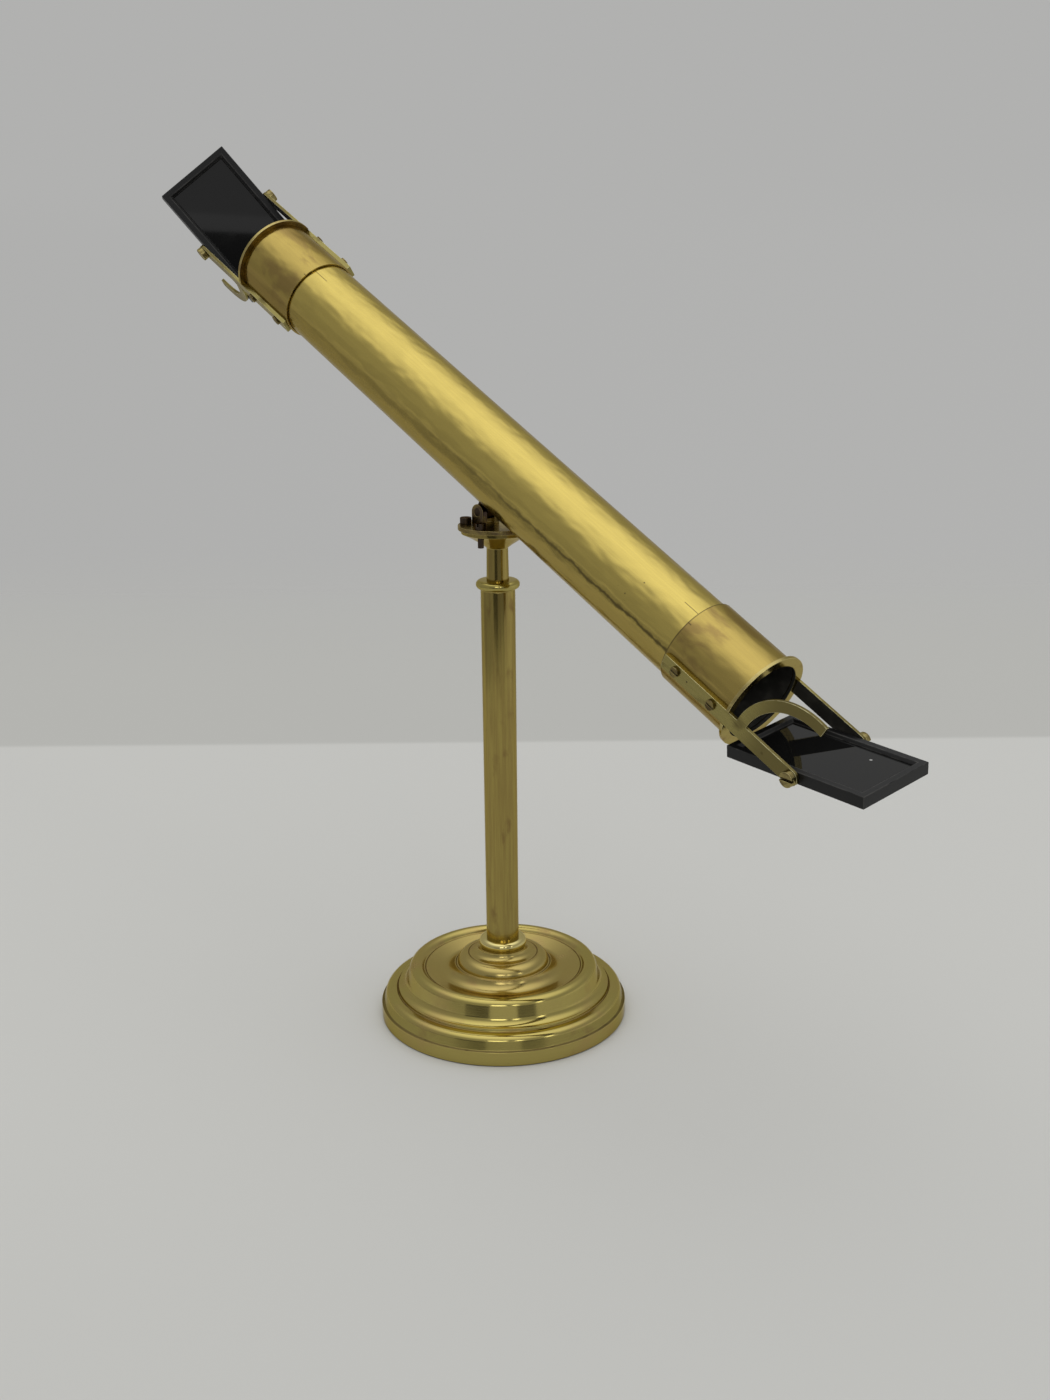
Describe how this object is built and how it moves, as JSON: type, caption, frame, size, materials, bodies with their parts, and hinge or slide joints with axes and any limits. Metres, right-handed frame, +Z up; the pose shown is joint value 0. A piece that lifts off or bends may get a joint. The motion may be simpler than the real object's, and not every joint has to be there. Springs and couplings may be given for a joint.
{
  "type": "polariscope",
  "caption": "Reflecting polariscope: a brass tube tilting on a pillar stand, with a black glass mirror swinging on a turning collar at each end.",
  "frame": {"origin": "centre of the foot's flat underside, on the column's axis", "axes": "+Z up the column; +X is the way the tube slopes down; Y lies along the tilt pin"},
  "size_m": [0.4594, 0.127, 0.437],
  "materials": {
    "turned_brass": "turned and lacquered brass, aged, semi-polished",
    "polished_brass": "bright turned brass",
    "tube_brass": "drawn brass with fine lengthwise brushing and old lacquer",
    "arm_brass": "filed brass strip, satin",
    "screw_brass": "darkened slotted screws",
    "dark_steel": "browned steel",
    "black_lacquer": "satin black lacquer",
    "black_glass": "glossy opaque black glass"
  },
  "bodies": {
    "stand": {"foot": "turned_brass", "column_ring": "polished_brass", "column": "turned_brass", "column_bead": "turned_brass", "head": "turned_brass", "joint_plate": "turned_brass", "plate_screws": "dark_steel", "tilt_pin": "dark_steel"},
    "tube": {"tongue": "dark_steel", "saddle": "tube_brass", "main_tube": "tube_brass"},
    "upper_collar": {"upper_sleeve": "tube_brass", "upper_flange": "tube_brass", "upper_arc_arm": "arm_brass", "upper_plain_arm": "arm_brass", "upper_arm_screws": "screw_brass"},
    "upper_mirror": {"upper_frame": "black_lacquer", "upper_glass": "black_glass", "upper_pivot_screws": "screw_brass"},
    "lower_collar": {"lower_sleeve": "tube_brass", "lower_flange": "tube_brass", "lower_arc_arm": "arm_brass", "lower_plain_arm": "arm_brass", "lower_arm_screws": "screw_brass"},
    "lower_mirror": {"lower_frame": "black_lacquer", "lower_glass": "black_glass", "lower_pivot_screws": "screw_brass"}
  },
  "joints": [
    {"name": "tube_tilt", "type": "hinge", "parent": "stand", "child": "tube", "pos_m": [-0.008, 0, 0.26258], "axis": [0, -1, 0], "range_deg": [0, 78]},
    {"name": "upper_collar_turn", "type": "hinge", "parent": "tube", "child": "upper_collar", "pos_m": [-0.16581, 0, 0.37807], "axis": [-0.8788, 0, 0.4772], "continuous": true},
    {"name": "lower_collar_turn", "type": "hinge", "parent": "tube", "child": "lower_collar", "pos_m": [0.16163, 0, 0.20028], "axis": [0.8788, 0, -0.4772], "continuous": true},
    {"name": "upper_mirror_swing", "type": "hinge", "parent": "upper_collar", "child": "upper_mirror", "pos_m": [-0.19921, 0, 0.39621], "axis": [0.3285, 0.7254, 0.6049], "continuous": true},
    {"name": "lower_mirror_swing", "type": "hinge", "parent": "lower_collar", "child": "lower_mirror", "pos_m": [0.19503, 0, 0.18215], "axis": [0.0664, 0.9903, 0.1223], "continuous": true}
  ]
}
